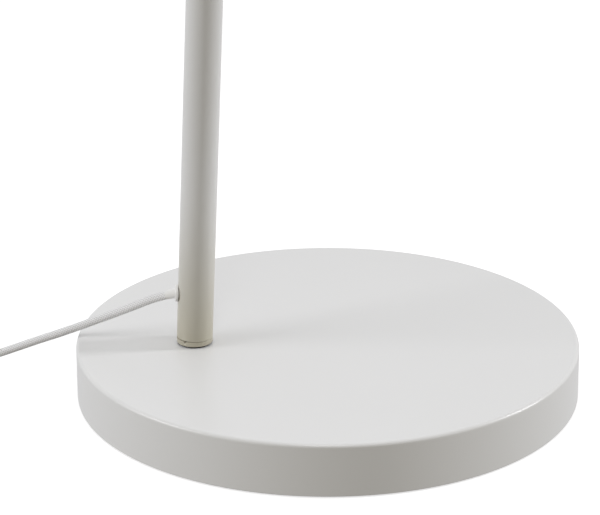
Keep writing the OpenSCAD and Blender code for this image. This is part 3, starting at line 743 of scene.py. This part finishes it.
# ---------------------------------------------------------------- head
def add_shade():
    """Spun dome with a flat crown, a short skirt and a rolled edge; its inside is whiter."""
    bead, sheet, flat, hole = 1.6 * MM, 1.2 * MM, 28 * MM, 19.6 * MM
    r = half_width("shade") - bead + sheet / 2
    crown = math.sqrt(r * r - flat * flat)
    centre = high("shade").z - crown
    rim = low("shade").z + bead - centre
    first, quarter_turn = math.asin(flat / r), math.pi / 2
    steps, ease = 48, 3 * MM
    outside = [Vector((hole, crown)), Vector((hole + sheet, crown)), Vector((flat - ease, crown))]
    outside += meridian(r, first + 0.004, quarter_turn, steps) + [Vector((r, rim + ease))]
    roll = [Vector((r - sheet / 2 + bead * math.cos(a), rim + bead * math.sin(a)))
            for a in (math.radians(70 - 320 * k / 24) for k in range(25))]
    inner_r = r - sheet
    inside = [Vector((inner_r, rim + ease))] + meridian(inner_r, quarter_turn, first + 0.006, steps)
    inside += [Vector((flat - ease, crown - sheet)), Vector((hole, crown - sheet))]
    sides = 192
    shade = lathe("dome_shade", outside + roll + inside, upright(PIVOT.x, 0, centre), sides, sharp=50)
    piece(shade, "head", "paint", "shade")
    shade.data.materials.append(enamel_material())
    first_inner = len(outside) + len(roll) // 2
    for face in shade.data.polygons:
        if face.index // sides >= first_inner:
            face.material_index = 1


def add_holder():
    """Bell that covers the lampholder, and the ring that clamps the shade."""
    top, foot, r = high("holder_cup").z, low("holder_cup").z, half_width("holder_cup")
    sheet, hole = 1.2 * MM, 5.1 * MM
    points = outline([
        (hole, top, 0), (r, top, 8 * MM), (r, foot, 0.4 * MM), (r - sheet, foot, 0.4 * MM),
        (r - sheet, top - sheet, 7 * MM), (hole, top - sheet, 0),
    ], 10)
    bell = lathe("holder_bell", points, upright(PIVOT.x, 0), 128)
    piece(bell, "head", "paint", "holder_cup")

    top, foot, r = high("shade_ring").z, low("shade_ring").z, half_width("shade_ring")
    ribs, depth, edge, bore = 40, 0.5 * MM, 0.6 * MM, 19.4 * MM

    def rib(angle, radius, _):
        return -depth * (0.5 + 0.5 * math.cos(ribs * angle)) if radius > r - edge else 0

    points = outline([
        (bore, foot, 0.3 * MM), (r, foot, 0.5 * MM), (r, top, 0.5 * MM), (bore, top, 0.2 * MM),
    ], 4)
    ring = lathe("clamp_ring", points, upright(PIVOT.x, 0), 8 * ribs, ripple=rib, sharp=50)
    piece(ring, "head", "black_plastic", "shade_ring")


def add_bulb():
    """Globe bulb: opal globe, plastic neck and a screw cap with its thread."""
    r = half_width("bulb_globe")
    centre = low("bulb_globe").z + r
    wall, steps = 1 * MM, 40
    first, last = math.acos((high("bulb_globe").z - centre) / r), math.pi - 0.01
    sections = meridian(r, last, first, steps) + meridian(r - wall, first + 0.01, last, steps)
    globe = lathe("opal_globe", sections, upright(PIVOT.x, 0, centre), 128, closed=False, sharp=50)
    piece(globe, "head", "opal", "bulb_globe")

    top, foot = high("bulb_collar").z, low("bulb_collar").z
    wide, narrow = half_width("bulb_collar"), half_width("bulb_cap")
    points = outline([
        (narrow - 4 * MM, top, 0), (narrow, top, 0.6 * MM), (narrow + 1.2 * MM, top - 4 * MM, 3 * MM),
        (wide, foot + 2.5 * MM, 3 * MM), (wide, foot, 0.4 * MM), (narrow - 4 * MM, foot, 0),
    ])
    neck = lathe("bulb_neck", points, upright(PIVOT.x, 0), 96)
    piece(neck, "head", "white_plastic", "bulb_collar")

    top, foot = high("bulb_cap").z, low("bulb_cap").z
    pitch, depth = 3.62 * MM, 0.9 * MM
    start, end = foot + 2 * MM, top - 5 * MM

    def thread(angle, _, z):
        fade = max(0, min(1, (z - start) / MM, (end - z) / MM))
        return -depth * fade * (0.5 - 0.5 * math.cos(TAU * z / pitch - angle))

    body = [(narrow, foot + (end + MM - foot) * k / 60) for k in range(61)]
    tip = [(narrow - 1.5 * MM, top - 3.2 * MM), (9 * MM, top - 2 * MM), (5 * MM, top - 1.2 * MM),
           (4.6 * MM, top - 0.2 * MM), (3 * MM, top)]
    shell = lathe("bulb_screw_cap", body + tip, upright(PIVOT.x, 0), 72, closed=False, sharp=50,
                  ripple=thread)
    piece(shell, "head", "nickel", "bulb_cap")


def add_flex():
    """The cord between the arc and the lampholder; its path turns through the knuckle's pivot."""
    start, end = high("knuckle_flex"), low("holder_flex")
    path = [Vector((PIVOT.x + (start.z - PIVOT.z) * UP.x / UP.z, 0, start.z)), PIVOT.copy(),
            Vector((PIVOT.x, 0, end.z))]
    flex = tube("knuckle_cord", smooth_path(path, MM), CORD_D / 2, 24, (0, 1, 0))
    flex.data.materials.append(MATERIALS["braid"])
    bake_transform(flex)
    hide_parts("knuckle_flex", "holder_flex")


def socket_screw(name, at, direction, radius, height, socket, shank, shank_r):
    """Button-head screw with a hexagonal socket; at is the underside of its head."""
    sides, place, edge = 48, facing(at, direction), 0.2 * MM

    def circle(r, z):
        return [place @ Vector((r * math.cos(TAU * k / sides), r * math.sin(TAU * k / sides), z))
                for k in range(sides)]

    def hexagon(r, z):
        ring = []
        for k in range(sides):
            a = TAU * k / sides
            flat = (a + math.pi / 6) % (math.pi / 3) - math.pi / 6
            out = r / math.cos(flat)
            ring.append(place @ Vector((out * math.cos(a), out * math.sin(a), z)))
        return ring

    dome = [(radius * math.cos(a), height * (0.35 + 0.65 * math.sin(a)))
            for a in (math.radians(10 * k) for k in range(6))]
    rings = [circle(shank_r, -shank), circle(shank_r, 0), circle(radius - edge, 0), circle(radius, edge)]
    rings += [circle(r, z) for r, z in dome[1:]]
    rings += [circle(socket * 1.35, height), hexagon(socket, height), hexagon(socket * 0.97, height * 0.9)]
    rings += [hexagon(socket * 0.97, height * 0.25)]
    return skin(name, rings, sharp=32)


def add_screws():
    """The knuckle's two pivot screws and the grub screws in the pole's back."""
    half = (high("pivot_screws").y - low("pivot_screws").y) / 2
    head_h, head_r = 2.1 * MM, half_width("pivot_screws")
    for side, name in ((1, "tilt_screw_back"), (-1, "tilt_screw_front")):
        at = PIVOT + Vector((0, side * (half - head_h), 0))
        screw = socket_screw(name, at, (0, side, 0), head_r, head_h, socket=1.6 * MM, shank=6.5 * MM,
                             shank_r=2.4 * MM)
        piece(screw, "head", "steel", *(["pivot_screws"] if side > 0 else []))
    sink, length, radius = 0.3 * MM, 3 * MM, 1.95 * MM
    first, second = up_pole(middle("lower_joiner")), up_pole(middle("upper_joiner"))
    heights = [z + side * GRUB_STEP for z in (first, second) for side in (-1, 1)]
    for n, z in enumerate(heights):
        at = FOOT + UP * z + Vector((0, TUBE_R - sink - length, 0))
        grub = socket_screw(f"grub_screw_{n + 1}", at, (0, 1, 0), radius, length, socket=0.9 * MM,
                            shank=0.1 * MM, shank_r=1.7 * MM)
        piece(grub, "root", "black_steel", *(["joiner_screws"] if n == 0 else []))


add_shade()
add_holder()
add_bulb()
add_flex()
add_screws()


# ---------------------------------------------------------------- foot switch and plug
BOOT_ROOT = 1.5 * MM  # how far a boot starts inside its housing


def boot(name, start, direction, length):
    """Tapered strain relief with flexing grooves."""
    wide, narrow, bore = 5 * MM, 3.25 * MM, CORD_D / 2 - 0.1 * MM
    ribs, depth = 5, 0.7 * MM
    corners = [(bore, 0, 0), (wide, 0, 0.3 * MM)]
    pitch = length * 0.8 / ribs
    for n in range(ribs):
        for share, cut in ((0.55, 0), (0.62, depth), (0.93, depth), (1.0, 0)):
            z = length * 0.08 + pitch * (n + share - 0.5)
            r = wide + (narrow - wide) * z / length
            corners.append((r - cut * (1 - 0.5 * z / length), z, 0.15 * MM))
    corners += [(narrow, length, 0.3 * MM), (bore, length, 0)]
    return lathe(name, outline(corners, 3), facing(start, direction), 48)


def add_switch():
    """Round foot switch: pan, domed cover, dished button and two strain reliefs."""
    centre = middle("switch_base")
    place = upright(centre.x, centre.y)
    r, split, top = half_width("switch_base"), high("switch_base").z, high("switch_cover").z
    wall, gap, hole, axis_r = 2 * MM, 0.2 * MM, 15.3 * MM, 0.5 * MM
    pan = lathe("switch_pan", outline([
        (axis_r, 0, 0), (r, 0, 1.2 * MM), (r, split - gap, 0.3 * MM), (r - wall, split - gap, 0),
        (r - wall, wall, 0), (axis_r, wall, 0),
    ], closed=False), place, 128, closed=False)
    piece(pan, "root", "white_plastic", "switch_base")
    dome = lathe("switch_dome", outline([
        (hole, top, 0.7 * MM), (r, top, 8 * MM), (r, split + gap, 0.3 * MM), (r - wall, split + gap, 0),
        (r - wall, top - wall, 5 * MM), (hole, top - wall, 0.2 * MM),
    ], 10), place, 128)
    piece(dome, "root", "white_plastic", "switch_cover")

    button_r, button_top, foot = 15 * MM, high("switch_button").z, low("switch_button").z
    dish, dish_r, rim_r = 0.9 * MM, 12 * MM, 13 * MM
    corners = [(r, button_top - dish * (1 - (r / dish_r) ** 2), 0) for r in (axis_r, 4 * MM, 8 * MM)]
    corners += [(rim_r, button_top, 0.8 * MM), (button_r, button_top - dish, 0.8 * MM),
                (button_r, foot, 0.2 * MM), (axis_r, foot, 0)]
    cap = lathe("switch_cap", outline(corners, closed=False), place, 96, closed=False)
    piece(cap, "button", "button_plastic", "switch_button")

    axis_z = middle("switch_reliefs").z
    reach = high("switch_reliefs").y - centre.y
    length = 25 * MM
    boots = []
    for side, name in ((1, "switch_boot_in"), (-1, "switch_boot_out")):
        at = Vector((centre.x, centre.y + side * (reach - length - BOOT_ROOT), axis_z))
        made = boot(name, at, (0, side, 0), length + BOOT_ROOT)
        boots.append(piece(made, "root", "white_plastic", *(["switch_reliefs"] if side > 0 else [])))
    return [pan, dome, cap, *boots]


def add_spring():
    """Coil spring under the button."""
    lo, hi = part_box("switch_spring")
    wire, turns, steps = 0.5 * MM, 5, 20
    centre, coil_r, rise = (lo + hi) / 2, half_width("switch_spring") - wire, hi.z - lo.z - 2 * wire
    path = []
    for k in range(turns * steps + 1):
        a = TAU * k / steps
        share = k / (turns * steps)
        path.append(Vector((centre.x + coil_r * math.cos(a), centre.y + coil_r * math.sin(a),
                            lo.z + wire + rise * share)))
    spring = piece(tube("press_spring", path, wire, 10), "root", "steel", "switch_spring")
    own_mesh(spring)
    return spring


def add_plug():
    """Flat two-pin plug with rounded edges and a shallow grip on both broad faces."""
    lo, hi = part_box("plug_body")
    width, length, height = hi.x - lo.x, hi.y - lo.y, hi.z - lo.z
    x, rear = (lo.x + hi.x) / 2, hi.y
    neck, rounding, rim, groove = 6 * MM, 2.2 * MM, 2.4 * MM, 0.5 * MM
    side = [(neck, 0), (neck + 2 * MM, 5 * MM), (width / 2 - 3 * MM, 20 * MM), (width / 2, 27 * MM),
            (width / 2, length)]
    shape = side + [(-a, b) for a, b in reversed(side)]
    work = bmesh.new()
    foot = [work.verts.new((x + a, rear - b, lo.z)) for a, b in shape]
    base = work.faces.new(foot)
    raised = bmesh.ops.extrude_face_region(work, geom=[base])
    top = [v for v in raised["geom"] if isinstance(v, bmesh.types.BMVert)]
    bmesh.ops.translate(work, verts=top, vec=(0, 0, height))
    bmesh.ops.recalc_face_normals(work, faces=work.faces)
    bmesh.ops.bevel(work, geom=list(work.edges), offset=rounding, segments=5, profile=0.5, affect="EDGES")
    flats = sorted(work.faces, key=lambda f: -f.calc_area())[:2]
    bmesh.ops.inset_individual(work, faces=flats, thickness=rim)
    bmesh.ops.inset_individual(work, faces=flats, thickness=groove, depth=-groove)
    mesh = bpy.data.meshes.new("plug_shell")
    work.to_mesh(mesh)
    work.free()
    mesh.shade_smooth()
    mesh.set_sharp_from_angle(angle=math.radians(40))
    shell = bpy.data.objects.new("plug_shell", mesh)
    bpy.context.scene.collection.objects.link(shell)
    piece(shell, "root", "white_plastic", "plug_body")

    lo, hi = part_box("plug_relief")
    start = (x, lo.y - BOOT_ROOT, (lo.z + hi.z) / 2)
    relief = boot("plug_boot", start, (0, 1, 0), hi.y - lo.y + BOOT_ROOT)
    piece(relief, "root", "white_plastic", "plug_relief")
    return [shell, relief, frame["nodes"]["plug_pins"]]


def add_tie():
    """Strap looped round the coil's turns."""
    lo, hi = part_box("cord_tie")
    thick = 0.9 * MM
    inner = [(lo.y + thick, lo.z + thick), (hi.y - thick, lo.z + thick),
             (hi.y - thick, hi.z - thick), (lo.y + thick, hi.z - thick)]
    rounding, steps = 3 * MM, 8
    stations = []
    for n, (y, z) in enumerate(inner):
        corner = Vector((0, y, z))
        sy, sz = (1 if n in (1, 2) else -1), (1 if n in (2, 3) else -1)
        centre = corner - Vector((0, sy * rounding, sz * rounding))
        first = {(-1, -1): 180, (1, -1): 270, (1, 1): 0, (-1, 1): 90}[sy, sz]
        for k in range(steps + 1):
            a = math.radians(first + 90 * k / steps)
            out = Vector((0, math.cos(a), math.sin(a)))
            stations.append((centre + out * rounding, out))
    x0, x1, soft = lo.x, hi.x, 0.2 * MM
    section = [(x0, soft), (x0 + soft, 0), (x1 - soft, 0), (x1, soft), (x1, thick - soft),
               (x1 - soft, thick), (x0 + soft, thick), (x0, thick - soft)]
    rings = [[Vector((x, *(p + out * d).yz)) for x, d in section] for p, out in stations]
    strap = skin("coil_strap", rings, closed=True, sharp=50)
    return piece(strap, "root", "tie_rubber", "cord_tie")


switch_parts = [add_spring(), *add_switch()]
plug_parts = add_plug()
strap = add_tie()


# ---------------------------------------------------------------- floor and light
def add_floor():
    """Plain pale floor, which lights nothing and isn't mirrored in the lamp."""
    size = 40
    floor = make_object("floor", [(-size, -size, 0), (size, -size, 0), (size, size, 0), (-size, size, 0)],
                        [(0, 1, 2, 3)])
    floor.location.z = -0.05 * MM
    s = Shader("floor", (0.55, 0.55, 0.55), 0.9, Emission_Strength=0.62)
    s.set("Emission Color", (1, 1, 1, 1))
    floor.data.materials.append(s.material)
    floor.visible_diffuse = False
    floor.visible_glossy = False


def add_world():
    """Soft surround that is darker and warmer in front of the lamp; the camera itself sees plain white."""
    behind, beside, before = (0.72, 0.72, 0.73, 1), (0.50, 0.50, 0.50, 1), (0.31, 0.285, 0.235, 1)
    forwards, seen_white = (0.1, -0.99, 0), (0.97, 0.97, 0.97, 1)
    world = bpy.data.worlds.new("studio")
    bpy.context.scene.world = world
    world.use_nodes = True
    nodes, links = world.node_tree.nodes, world.node_tree.links
    back = nodes["Background"]
    place = nodes.new("ShaderNodeTexCoord")
    front = nodes.new("ShaderNodeVectorMath")
    front.operation = "DOT_PRODUCT"
    front.inputs[1].default_value = forwards
    links.new(place.outputs["Generated"], front.inputs[0])
    tone = nodes.new("ShaderNodeValToRGB")
    tone.color_ramp.elements[0].color = behind
    tone.color_ramp.elements[1].color = before
    tone.color_ramp.elements.new(0.5).color = beside
    half = nodes.new("ShaderNodeMath")
    half.operation = "MULTIPLY_ADD"
    half.inputs[1].default_value = 0.5
    half.inputs[2].default_value = 0.5
    links.new(front.outputs["Value"], half.inputs[0])
    links.new(half.outputs[0], tone.inputs["Fac"])
    links.new(tone.outputs["Color"], back.inputs["Color"])
    plain = nodes.new("ShaderNodeBackground")
    plain.inputs["Color"].default_value = seen_white
    seen = nodes.new("ShaderNodeLightPath")
    both = nodes.new("ShaderNodeMixShader")
    links.new(seen.outputs["Is Camera Ray"], both.inputs["Fac"])
    links.new(back.outputs["Background"], both.inputs[1])
    links.new(plain.outputs["Background"], both.inputs[2])
    links.new(both.outputs["Shader"], nodes["World Output"].inputs["Surface"])


def add_light(name, azimuth, elevation, distance, width, height, watts):
    """Soft box that faces the pole's foot. Degrees and metres; azimuth is counted from +X towards +Y."""
    light = bpy.data.lights.new(name, "AREA")
    light.energy = watts
    light.color = (0.98, 0.985, 1.0)
    light.shape = "RECTANGLE"
    light.size, light.size_y = width, height
    holder = bpy.data.objects.new(name, light)
    bpy.context.scene.collection.objects.link(holder)
    a, e = math.radians(azimuth), math.radians(elevation)
    ray = Vector((math.cos(a) * math.cos(e), math.sin(a) * math.cos(e), math.sin(e)))
    holder.location = FOOT + distance * ray
    holder.rotation_euler = ray.to_track_quat("Z", "Y").to_euler()
    return holder


def spare_from(holder, pieces):
    """Keeps a light's own brightness off some pieces, and their shadows out of it."""
    spared = bpy.data.collections.new("spared")
    for made in pieces:
        spared.objects.link(made)
    holder.light_linking.receiver_collection = holder.light_linking.blocker_collection = spared
    for entry in spared.collection_objects:
        entry.light_linking.link_state = "EXCLUDE"


add_floor()
add_world()
key = add_light("key", azimuth=268, elevation=60, distance=2.1, width=0.3, height=1.1, watts=9.5)
spare_from(key, POLE_PIECES)
add_light("left_box", azimuth=191, elevation=25, distance=1.5, width=0.7, height=0.6, watts=8.4)
add_light("right_strip", azimuth=2.5, elevation=24, distance=3.2, width=0.46, height=1.75, watts=47)
bpy.context.scene.view_settings.view_transform = "Standard"
